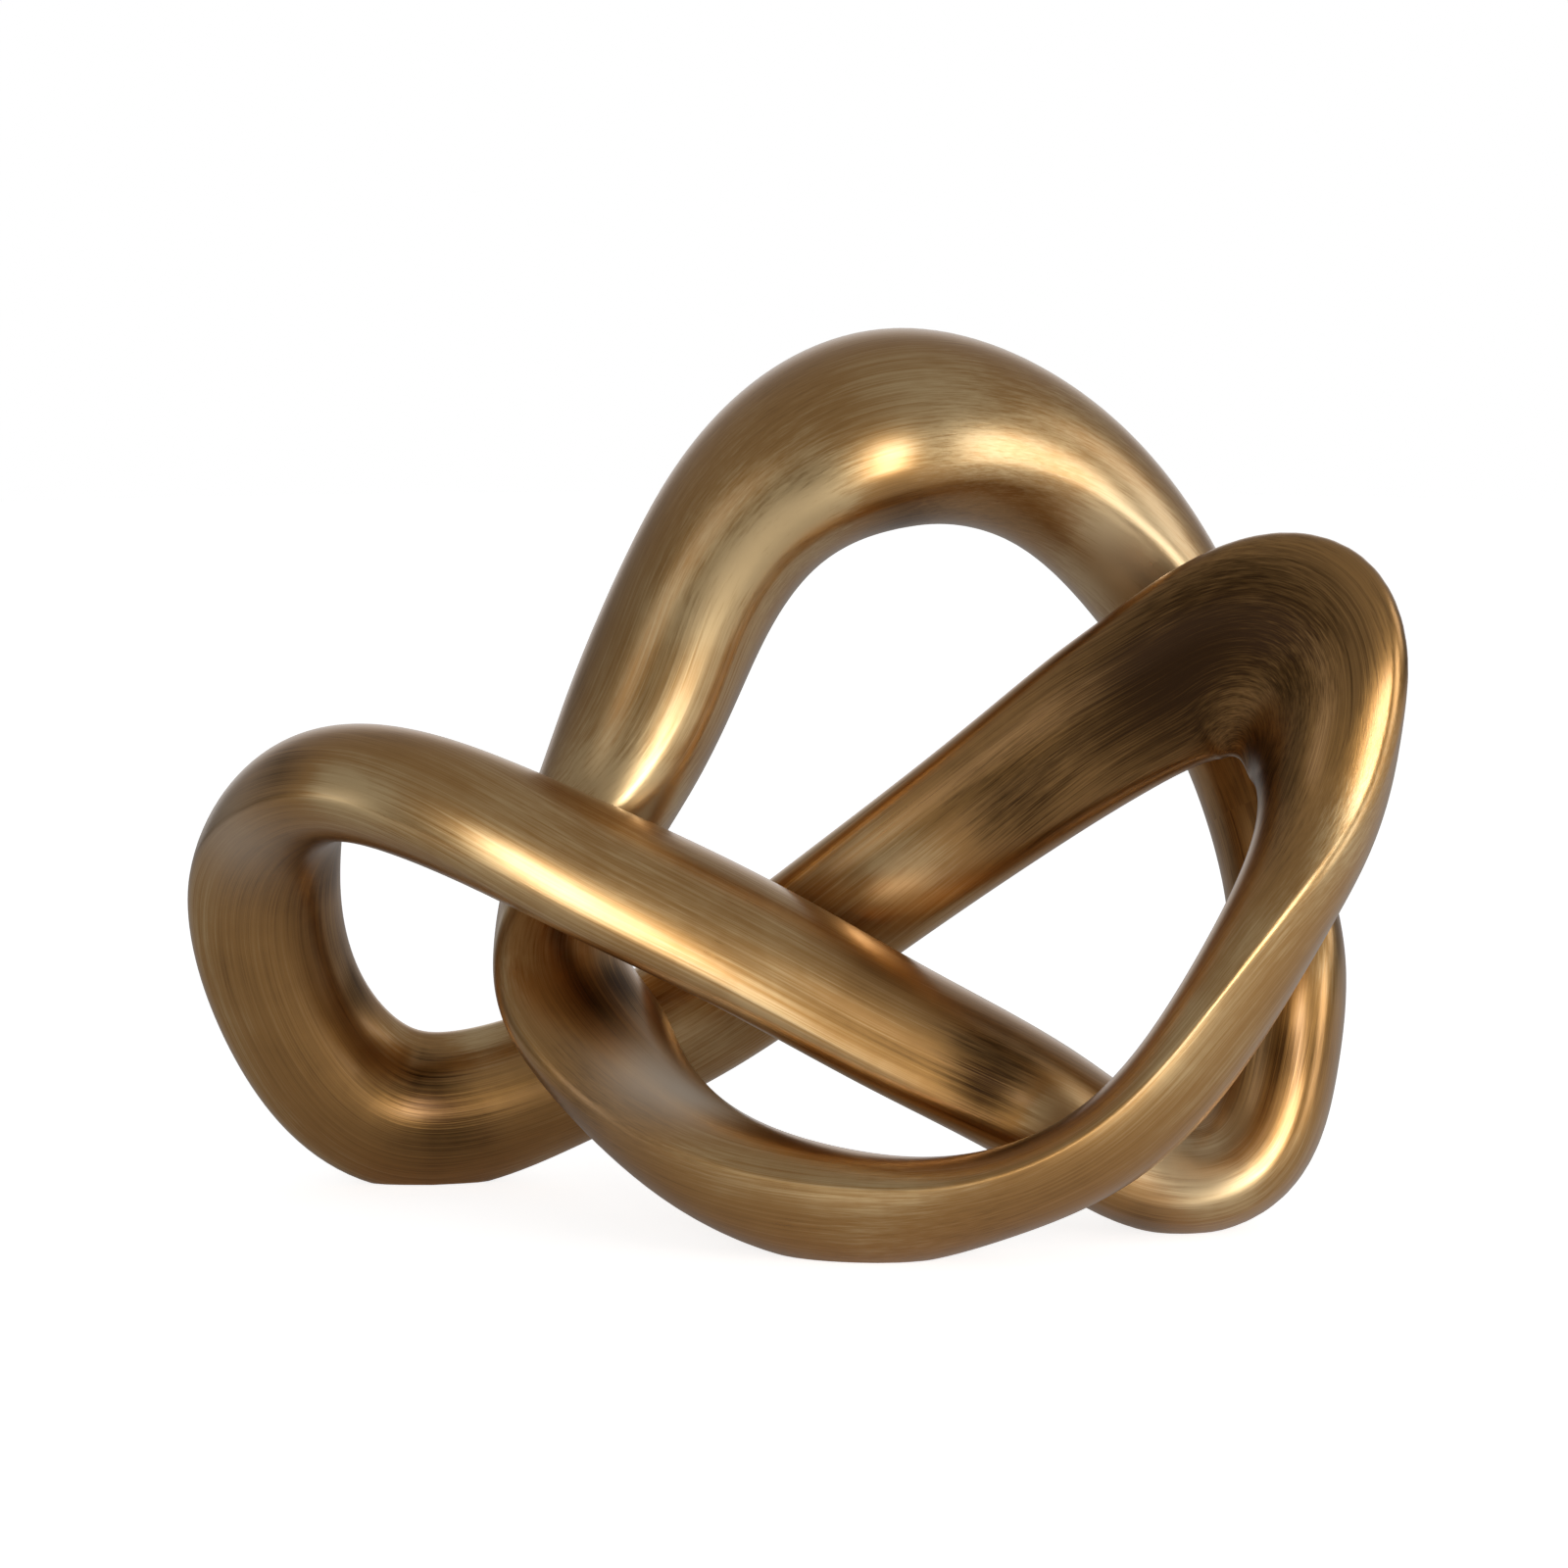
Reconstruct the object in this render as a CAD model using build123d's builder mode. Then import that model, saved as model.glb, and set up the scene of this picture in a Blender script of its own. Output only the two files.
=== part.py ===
from build123d import *

import math
import os
from collections import namedtuple

import numpy as np

# Open knot sculpture: one endless band that stands on three ground feet.
# Millimetres, +Z up, the table at Z = 0, +X to the right and -Y towards the front.
# The band is hollow castings over backing sleeves, welded end to end and ground flush.

# Driving dimensions
WALL = 4.0              # thickness of a casting's wall
SLEEVE_GAP = 0.3        # clearance all round between a sleeve and the castings over it
SLEEVE_WALL = 2.5       # thickness of a backing sleeve
SLEEVE_REACH = 13.0     # how far a sleeve goes into each of its two castings
WELD_WIDTH = 4.0        # length of band that a weld fills between two castings
ROLL_PER_LAP = -180.0   # the band makes half a turn about itself in one round, so it has one side
SECTIONS_PER_STATION = 8    # sections of a loft between one station and the next

# Stations along the band, followed from the arch's peak down its right leg. At each one: the place of
# the path; half the width from ridge to ridge; half the thickness between the broad faces; how far the
# wide way is rolled, in degrees, from the right-hand side of travel towards the front; how far the
# section's middle sits beside the path; and the radius of the ridges, as a share of the half thickness.
Station = namedtuple("Station", "x y z half_width half_thickness roll shift ridge_share")
STATIONS = [
    Station(28, 26, 181, 28, 22, 68, 0, 0.5),       # 0 arch peak
    Station(61, 32, 171, 22, 19, 90, 0, 0.5),       # 1 arch, to the right of its peak
    Station(86, 35, 145, 20, 16, 113, 0, 0.5),      # 2 arch, right leg
    Station(104, 30, 111, 15, 12, 132, 0, 0.5),     # 3 behind the right lobe
    Station(114, 15, 78, 14, 11, 135, 0, 0.5),      # 4 behind the right lobe, lower
    Station(116, 6, 58, 16, 13, 126, 0, 0.5),       # 5 top of the rear bend
    Station(114, 1, 37, 17, 13, 119, 0, 0.5),       # 6 rear bend
    Station(106, -2, 17, 18, 13, 112, 0, 0.5),      # 7 rear bend, lower corner
    Station(85, -4, 13, 19, 13, 107, 0, 0.5),       # 8 rear foot
    Station(59, -8, 29, 19, 13, 118, 0, 0.5),       # 9 long arm, right end
    Station(26, -12, 48, 19, 12, 126, 0, 0.5),      # 10 long arm, right
    Station(-9, -15, 68, 19, 12, 128, 0, 0.5),      # 11 long arm, middle
    Station(-46, -15, 86, 19, 13, 124, 0, 0.5),     # 12 long arm, left
    Station(-80, -10, 100, 18, 14, 108, 0, 0.4),    # 13 left lobe, start of its top
    Station(-107, 5, 100, 18, 13, 78, 0, 0.3),      # 14 left lobe, top
    Station(-121, 24, 77, 19, 13, 32, -1, 0.4),     # 15 left lobe, side
    Station(-114, 38, 41, 18, 13, 20, 0, 0.5),      # 16 left lobe, lower side
    Station(-89, 44, 17, 19, 13, 8, 0, 0.5),        # 17 left foot
    Station(-53, 43, 25, 17, 13, 0, 0, 0.5),        # 18 rising arm, start
    Station(-19, 34, 43, 16, 12, -2, 0, 0.7),       # 19 rising arm, in the window below the long arm
    Station(15, 21, 67, 16, 11, 2, -2, 0.8),        # 20 rising arm, behind the long arm
    Station(48, 9, 95, 17, 10, 12, -1, 0.8),        # 21 rising arm, high
    Station(74, -2, 116, 19, 9, 16, -1, 0.7),       # 22 right lobe, start
    Station(94, -12, 130, 22, 9, 6, -1, 0.5),       # 23 right lobe, shoulder
    Station(113, -22, 127, 28, 10, -18, -8, 0.4),   # 24 right lobe, crown
    Station(122, -31, 110, 22, 13, -54, 1, 0.3),    # 25 right lobe, side
    Station(115, -37, 87, 17, 12, -84, 0, 0.3),     # 26 right lobe, end
    Station(98, -43, 57, 15, 11, -110, 0, 0.2),     # 27 front loop, right
    Station(76, -44, 30, 15, 10, -120, 0, 0.2),     # 28 front loop, lower right
    Station(47, -41, 15, 16, 10, -118, 0, 0.2),     # 29 front foot, right
    Station(14, -35, 11, 17, 13, -118, 0, 0.2),     # 30 front foot, left
    Station(-20, -24, 22, 18, 13, -90, 0, 0.3),     # 31 front loop, lower left
    Station(-44, -5, 45, 21, 13, -54, 1, 0.4),      # 32 front loop, left
    Station(-51, 18, 69, 18, 14, -64, 0, 0.5),      # 33 arch, root of its left leg
    Station(-36, 28, 105, 22, 17, -114, 0, 0.5),    # 34 arch, left leg
    Station(-20, 29, 141, 23, 18, -116, 0, 0.5),    # 35 arch, left leg, high
    Station(-1, 27, 168, 26, 20, -115, 0, 0.5),     # 36 arch, left shoulder
]

# Joints between castings, by their place among the stations (13.2 is a little past station 13)
JOINTS = {
    "crown": 1.2,
    "rear_leg": 3.6,
    "arm_root": 9.3,
    "left_lobe": 13.2,
    "rise_root": 18.6,
    "right_lobe": 21.9,
    "loop_top": 27.3,
    "front_foot": 30.5,
    "arch_root": 33.2,
}

# Each casting runs from its own joint to the next one in the list above
CASTINGS = {
    "arch_right": "crown",
    "rear_bend": "rear_leg",
    "long_arm": "arm_root",
    "left_lobe": "left_lobe",
    "rising_arm": "rise_root",
    "right_lobe": "right_lobe",
    "front_loop_right": "loop_top",
    "front_loop_left": "front_foot",
    "arch_left": "arch_root",
}
GROUND_CASTINGS = ("rear_bend", "left_lobe", "front_loop_right")

# The band's path and section

STATION_COUNT = len(STATIONS)
LAP_GAIN = np.array(Station(0, 0, 0, 0, 0, ROLL_PER_LAP, 0, 0))


def spline_controls():
    """Control values of the closed cubic B-spline that passes through every station."""
    ramp = np.outer(np.arange(STATION_COUNT) / STATION_COUNT, LAP_GAIN)
    same = np.eye(STATION_COUNT)
    matrix = (4 * same + np.roll(same, 1, axis=0) + np.roll(same, -1, axis=0)) / 6
    return np.linalg.solve(matrix, np.array(STATIONS) - ramp)


CONTROLS = spline_controls()


def blended(place, weights):
    """Sum of the four controls around a place on the band, with the given weights."""
    first = math.floor(place) - 1
    return sum(weight * CONTROLS[(first + i) % STATION_COUNT] for i, weight in enumerate(weights))


def band_at(place):
    """Path and section of the band at a place given in stations."""
    f = place - math.floor(place)
    weights = ((1 - f) ** 3, 3 * f**3 - 6 * f**2 + 4, -3 * f**3 + 3 * f**2 + 3 * f + 1, f**3)
    values = blended(place, [w / 6 for w in weights]) + place / STATION_COUNT * LAP_GAIN
    return Station(*(float(v) for v in values))


def travel_at(place):
    """Direction of the path, with the millimetres that one station is worth as its length."""
    f = place - math.floor(place)
    weights = (-((1 - f) ** 2), 3 * f**2 - 4 * f, -3 * f**2 + 2 * f + 1, f**2)
    return Vector(*(float(v) for v in blended(place, [w / 2 for w in weights])[:3]))


def section_plane(place):
    """Plane square to the path, with its X along the section's wide way."""
    band = band_at(place)
    along = travel_at(place).normalized()
    front = Vector(0, -1, 0)
    front = (front - along * front.dot(along)).normalized()
    right_hand = along.cross(front)
    roll = math.radians(band.roll)
    wide = right_hand * math.cos(roll) + front * math.sin(roll)
    middle = Vector(band.x, band.y, band.z) + wide * band.shift
    return Plane(origin=middle, x_dir=wide, z_dir=along)


def band_section(place, inset):
    """Flattened oval of two broad arcs and two ridge arcs, drawn in from the band's skin by inset."""
    band = band_at(place)
    width = band.half_width - inset
    thickness = band.half_thickness - inset
    ridge = band.ridge_share * thickness
    broad = (width**2 + thickness**2 - 2 * width * ridge) / (2 * (thickness - ridge))
    meet = math.atan2(broad - thickness, width - ridge)
    x = width - ridge + ridge * math.cos(meet)
    y = ridge * math.sin(meet)
    with BuildSketch(section_plane(place)) as section:
        with BuildLine():
            ThreePointArc((x, -y), (width, 0), (x, y))
            ThreePointArc((x, y), (0, thickness), (-x, y))
            ThreePointArc((-x, y), (-width, 0), (-x, -y))
            ThreePointArc((-x, -y), (0, -thickness), (x, -y))
        make_face()
    return section.sketch


def sections_between(start, end, inset):
    """Sections for a loft along the band, evenly numbered from start to end."""
    count = max(3, math.ceil((end - start) * SECTIONS_PER_STATION) + 1)
    return [band_section(float(p), inset) for p in np.linspace(start, end, count)]


def beside(place, distance):
    """Place that lies a distance in millimetres further along the band."""
    return place + distance / travel_at(place).length


def next_joint(joint):
    """Place of the joint after the named one, counted on past the first station on the last round."""
    names = list(JOINTS)
    after = names.index(joint) + 1
    return JOINTS[names[after]] if after < len(names) else JOINTS[names[0]] + STATION_COUNT


os.makedirs("parts", exist_ok=True)

# Castings: hollow lengths of the band, with the table side of each foot ground flat
for name, joint in CASTINGS.items():
    start = beside(JOINTS[joint], WELD_WIDTH / 2)
    end = beside(next_joint(joint), -WELD_WIDTH / 2)
    with BuildPart() as casting:
        loft(sections=sections_between(start, end, 0))
        loft(sections=sections_between(start, end, WALL), mode=Mode.SUBTRACT)
        if name in GROUND_CASTINGS:
            split(bisect_by=Plane.XY, keep=Keep.TOP)
    casting.part.label = name
    export_step(casting.part, f"parts/{name}.step")

# Joints: a sleeve inside both castings, and a weld that fills the wall between them
for name, place in JOINTS.items():
    sleeve_start = beside(place, -WELD_WIDTH / 2 - SLEEVE_REACH)
    sleeve_end = beside(place, WELD_WIDTH / 2 + SLEEVE_REACH)
    sleeve_skin = WALL + SLEEVE_GAP
    sleeve_bore = sleeve_skin + SLEEVE_WALL
    with BuildPart() as sleeve:
        loft(sections=sections_between(sleeve_start, sleeve_end, sleeve_skin))
        loft(sections=sections_between(sleeve_start, sleeve_end, sleeve_bore), mode=Mode.SUBTRACT)
    sleeve.part.label = f"{name}_sleeve"
    export_step(sleeve.part, f"parts/{name}_sleeve.step")

    weld_start = beside(place, -WELD_WIDTH / 2)
    weld_end = beside(place, WELD_WIDTH / 2)
    with BuildPart() as weld:
        loft(sections=sections_between(weld_start, weld_end, 0))
        loft(sections=sections_between(weld_start, weld_end, WALL), mode=Mode.SUBTRACT)
    weld.part.label = f"{name}_weld"
    export_step(weld.part, f"parts/{name}_weld.step")
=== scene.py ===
"""Looks of an open knot sculpture: one endless brushed brass band that stands on three ground feet."""

import logging
import math
from dataclasses import astuple, dataclass, fields
from enum import Enum
from typing import Any, Sequence, Union

import bpy
import numpy as np
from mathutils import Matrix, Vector


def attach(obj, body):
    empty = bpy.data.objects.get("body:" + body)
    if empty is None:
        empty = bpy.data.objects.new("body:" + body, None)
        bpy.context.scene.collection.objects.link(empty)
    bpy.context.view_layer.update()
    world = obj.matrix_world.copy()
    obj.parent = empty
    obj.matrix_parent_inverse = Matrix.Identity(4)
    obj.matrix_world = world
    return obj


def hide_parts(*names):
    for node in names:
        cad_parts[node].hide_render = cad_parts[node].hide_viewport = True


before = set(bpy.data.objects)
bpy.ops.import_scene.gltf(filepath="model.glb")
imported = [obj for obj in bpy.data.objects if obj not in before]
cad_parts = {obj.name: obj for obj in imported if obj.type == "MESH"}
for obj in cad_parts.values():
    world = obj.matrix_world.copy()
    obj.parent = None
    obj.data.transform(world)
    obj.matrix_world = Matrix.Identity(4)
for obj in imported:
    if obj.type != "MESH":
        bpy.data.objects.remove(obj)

log = logging.getLogger("knot")
MM = 0.001
BODY = "root"


class Slot(Enum):
    """Material slots of the record; each piece notes one, and all pieces take the same brass finish."""

    BAND = "band"
    WELD = "weld"


class Foot(Enum):
    """Whether a length of the band is ground flat where it meets the table."""

    NONE = "none"
    GROUND = "ground"


@dataclass(frozen=True)
class Station:
    """A place on the band, in millimetres and degrees."""

    x: float
    y: float
    z: float
    half_width: float
    half_thickness: float
    roll: float
    shift: float
    ridge_share: float

    def values(self) -> list[float]:
        """All values, in the order that the path keeps them."""
        return list(astuple(self))


# The band's stations, followed from the arch's peak down its right leg
STATIONS = (
    Station(28, 26, 181, 28, 22, 68, 0, 0.5),       # 0 arch peak
    Station(61, 32, 171, 22, 19, 90, 0, 0.5),       # 1 arch, to the right of its peak
    Station(86, 35, 145, 20, 16, 113, 0, 0.5),      # 2 arch, right leg
    Station(104, 30, 111, 15, 12, 132, 0, 0.5),     # 3 behind the right lobe
    Station(114, 15, 78, 14, 11, 135, 0, 0.5),      # 4 behind the right lobe, lower
    Station(116, 6, 58, 16, 13, 126, 0, 0.5),       # 5 top of the rear bend
    Station(114, 1, 37, 17, 13, 119, 0, 0.5),       # 6 rear bend
    Station(106, -2, 17, 18, 13, 112, 0, 0.5),      # 7 rear bend, lower corner
    Station(85, -4, 13, 19, 13, 107, 0, 0.5),       # 8 rear foot
    Station(59, -8, 29, 19, 13, 118, 0, 0.5),       # 9 long arm, right end
    Station(26, -12, 48, 19, 12, 126, 0, 0.5),      # 10 long arm, right
    Station(-9, -15, 68, 19, 12, 128, 0, 0.5),      # 11 long arm, middle
    Station(-46, -15, 86, 19, 13, 124, 0, 0.5),     # 12 long arm, left
    Station(-80, -10, 100, 18, 14, 108, 0, 0.4),    # 13 left lobe, start of its top
    Station(-107, 5, 100, 18, 13, 78, 0, 0.3),      # 14 left lobe, top
    Station(-121, 24, 77, 19, 13, 32, -1, 0.4),     # 15 left lobe, side
    Station(-114, 38, 41, 18, 13, 20, 0, 0.5),      # 16 left lobe, lower side
    Station(-89, 44, 17, 19, 13, 8, 0, 0.5),        # 17 left foot
    Station(-53, 43, 25, 17, 13, 0, 0, 0.5),        # 18 rising arm, start
    Station(-19, 34, 43, 16, 12, -2, 0, 0.7),       # 19 rising arm, in the window below the long arm
    Station(15, 21, 67, 16, 11, 2, -2, 0.8),        # 20 rising arm, behind the long arm
    Station(48, 9, 95, 17, 10, 12, -1, 0.8),        # 21 rising arm, high
    Station(74, -2, 116, 19, 9, 16, -1, 0.7),       # 22 right lobe, start
    Station(94, -12, 130, 22, 9, 6, -1, 0.5),       # 23 right lobe, shoulder
    Station(113, -22, 127, 28, 10, -18, -8, 0.4),   # 24 right lobe, crown
    Station(122, -31, 110, 22, 13, -54, 1, 0.3),    # 25 right lobe, side
    Station(115, -37, 87, 17, 12, -84, 0, 0.3),     # 26 right lobe, end
    Station(98, -43, 57, 15, 11, -110, 0, 0.2),     # 27 front loop, right
    Station(76, -44, 30, 15, 10, -120, 0, 0.2),     # 28 front loop, lower right
    Station(47, -41, 15, 16, 10, -118, 0, 0.2),     # 29 front foot, right
    Station(14, -35, 11, 17, 13, -118, 0, 0.2),     # 30 front foot, left
    Station(-20, -24, 22, 18, 13, -90, 0, 0.3),     # 31 front loop, lower left
    Station(-44, -5, 45, 21, 13, -54, 1, 0.4),      # 32 front loop, left
    Station(-51, 18, 69, 18, 14, -64, 0, 0.5),      # 33 arch, root of its left leg
    Station(-36, 28, 105, 22, 17, -114, 0, 0.5),    # 34 arch, left leg
    Station(-20, 29, 141, 23, 18, -116, 0, 0.5),    # 35 arch, left leg, high
    Station(-1, 27, 168, 26, 20, -115, 0, 0.5),     # 36 arch, left shoulder
)
ROLL_PER_LAP = -180.0   # the band makes half a turn about itself in one round
WALL = 4.0              # thickness of a casting's wall
WELD_WIDTH = 4.0        # length of band that a weld fills between two castings

# Joints between castings by their place among the stations, on a round that starts behind the right lobe
JOINTS = {
    "rear_leg": 3.6,
    "arm_root": 9.3,
    "left_lobe": 13.2,
    "rise_root": 18.6,
    "right_lobe": 21.9,
    "loop_top": 27.3,
    "front_foot": 30.5,
    "arch_root": 33.2,
    "crown": 38.2,
}

# Castings in the order of the round: each runs from the joint at its own place in the list to the next
CASTINGS = {
    "rear_bend": Foot.GROUND,
    "long_arm": Foot.NONE,
    "left_lobe": Foot.GROUND,
    "rising_arm": Foot.NONE,
    "right_lobe": Foot.NONE,
    "front_loop_right": Foot.GROUND,
    "front_loop_left": Foot.NONE,
    "arch_left": Foot.NONE,
    "arch_right": Foot.NONE,
}


@dataclass(frozen=True)
class WearAndPaintedLight:
    """A place where the metal looks lighter, darker or matt grey: rubbed bright, or painted shade,
    highlight or sheen.
    """

    x: float
    y: float
    z: float
    reach: float        # millimetres over which it fades
    tone: float         # above 0 brighter, below 0 darker
    painted_sheen: float = 0.0   # share of painted sheen at its middle, as matt grey lacquer


# Placed after the front of the photograph. Most are painted shade, shadow, highlight and sheen that stand
# for the light in its room and are no part of the metal.
WEAR_AND_PAINTED_LIGHT = (
    WearAndPaintedLight(106, -28, 142, 32, -0.34),      # broad face of the right lobe, painted shade
    WearAndPaintedLight(95, -21, 141, 20, -0.16),       # right lobe, upper edge, painted shade
    WearAndPaintedLight(80, -14, 124, 22, -0.40),       # right lobe, towards the rising arm, painted shade
    WearAndPaintedLight(108, -29, 124, 11, 0.25),       # right lobe, edge of its opening, painted highlight
    WearAndPaintedLight(112, -32, 140, 12, -0.12),      # right lobe, right of its middle, painted shade
    WearAndPaintedLight(111, -46, 99, 12, -0.34),       # right lobe, left of its ridge, painted shade
    WearAndPaintedLight(104, 13, 90, 15, -0.15),        # behind the right lobe, painted shade
    WearAndPaintedLight(119, -50, 98, 12, 0.30),        # right lobe, ridge, painted highlight
    WearAndPaintedLight(56, -5, 94, 20, -0.30),         # rising arm, below the right lobe, painted shade
    WearAndPaintedLight(29, 5, 82, 15, 0.40),           # rising arm, above the long arm, painted highlight
    WearAndPaintedLight(-22, 22, 41, 17, 0.30),         # rising arm, in the window, painted light
    WearAndPaintedLight(45, -23, 41, 12, -0.28),        # long arm, painted shadow of the front loop
    WearAndPaintedLight(55, -23, 35, 12, -0.28),        # long arm, painted shadow of the front loop, further right
    WearAndPaintedLight(62, -23, 29, 9, 0.80),          # long arm, painted light beyond that shadow
    WearAndPaintedLight(44, -27, 32, 8, -0.20),         # long arm, lower edge, painted shade
    WearAndPaintedLight(-6, -26, 76, 24, 0.28),         # long arm, middle, painted light
    WearAndPaintedLight(-56, -25, 98, 24, 0.28),        # long arm, left, painted light
    WearAndPaintedLight(78, 17, 150, 16, 0.80, 0.25),   # arch, right leg, rubbed bright, with painted light and painted sheen
    WearAndPaintedLight(67, 11, 168, 12, -0.20),        # arch, right leg, higher, painted shade
    WearAndPaintedLight(72, 14, 180, 16, 0.30),         # arch, outside of its right leg, painted light
    WearAndPaintedLight(36, 3, 186, 18, 0.55),          # arch, front of its peak, painted highlight
    WearAndPaintedLight(28, 2, 167, 16, -0.50),         # arch, under its peak, painted shade
    WearAndPaintedLight(13, 0, 172, 10, 0.20),          # arch, left of its peak, painted light
    WearAndPaintedLight(4, 2, 160, 16, 0.25),           # arch, left shoulder, painted light
    WearAndPaintedLight(-34, 10, 118, 26, 0.20),        # arch, broad face of its left leg, painted light
    WearAndPaintedLight(-44, 10, 103, 10, 0.30),        # arch, left leg, above the long arm, painted light
    WearAndPaintedLight(-29, 10, 95, 9, 0.60),          # arch, inside of its left leg, painted light
    WearAndPaintedLight(-20, 10, 140, 10, 0.40),        # arch, painted highlight streak on its left leg
    WearAndPaintedLight(-8, 7, 153, 10, 0.40),          # arch, painted highlight streak on its left leg, higher
    WearAndPaintedLight(7, 4, 166, 10, 0.35),           # arch, painted highlight streak towards its peak
    WearAndPaintedLight(117, -14, 42, 13, -0.45),       # rear bend, front, painted shade
    WearAndPaintedLight(92, -18, 17, 13, 0.90, 0.20),   # rear bend, inside its foot, painted light and painted sheen
    WearAndPaintedLight(85, -22, 7, 10, -0.60),         # rear bend, below that, painted shade
    WearAndPaintedLight(78, -49, 48, 15, -0.18),        # front loop, inner edge on the right, painted shade
    WearAndPaintedLight(64, -49, 35, 15, -0.18),        # front loop, inner edge, lower right, painted shade
    WearAndPaintedLight(47, -48, 27, 15, -0.18),        # front loop, inner edge above its foot, painted shade
    WearAndPaintedLight(88, -57, 53, 26, 0.22),         # front loop, right, painted light
    WearAndPaintedLight(20, -50, 20, 28, 0.16),         # front loop, above its foot, painted light
    WearAndPaintedLight(-101, -21, 105, 8, 0.40),       # top of the left lobe
    WearAndPaintedLight(-91, -24, 103, 8, 0.30),        # top of the left lobe, further right
    WearAndPaintedLight(-115, -11, 107, 11, -0.35),     # top of the left lobe, further left
    WearAndPaintedLight(-125, 0, 89, 15, -0.10, 0.50),  # left lobe, upper left, painted sheen
    WearAndPaintedLight(-80, 31, 20, 13, -0.45),        # left lobe, beside its foot, painted shade
    WearAndPaintedLight(-103, 28, 28, 12, -0.12),       # left lobe, above its foot
    WearAndPaintedLight(-102, 24, 78, 9, -0.25),        # left lobe, inside of its opening, painted shade
    WearAndPaintedLight(-101, 32, 62, 9, -0.25),        # left lobe, inside of its opening, lower, painted shade
    WearAndPaintedLight(-97, 37, 47, 8, -0.25),         # left lobe, inside of its opening, lowest, painted shade
    WearAndPaintedLight(-92, 36, 35, 9, 0.40),          # left lobe, edge of its opening
    WearAndPaintedLight(-72, 38, 34, 9, 0.40),          # left lobe, edge of its opening, further right
    WearAndPaintedLight(-54, -3, 67, 12, 0.50),         # front loop, behind the long arm, painted light
    WearAndPaintedLight(-36, -5, 57, 8, -0.30),         # front loop, top of its inner side, painted shade
    WearAndPaintedLight(-26, 1, 47, 9, 0.80),           # front loop, painted light where the rising arm should show
    WearAndPaintedLight(-42, -10, 56, 16, -0.30),       # front loop, painted shadow of the long arm
    WearAndPaintedLight(-29, -27, 41, 12, 0.30, 0.80),  # front loop, inner side, painted sheen
    WearAndPaintedLight(-20, -30, 34, 8, 0.10, 0.45),   # front loop, inner side, lower, painted sheen
    WearAndPaintedLight(-47, -32, 34, 12, -0.35),       # front loop, outer side, painted shade
    WearAndPaintedLight(-30, -35, 34, 9, -0.30),        # front loop, below its inner side, painted shade
    WearAndPaintedLight(-11, -27, 32, 9, 0.30, 0.50),   # front loop, edge below the window, painted sheen
)


@dataclass(frozen=True)
class Sections:
    """Frames and sizes of the band's section at a row of places."""

    middle: np.ndarray
    wide: np.ndarray
    thick: np.ndarray
    half_width: np.ndarray
    half_thickness: np.ndarray
    ridge_share: np.ndarray


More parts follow.
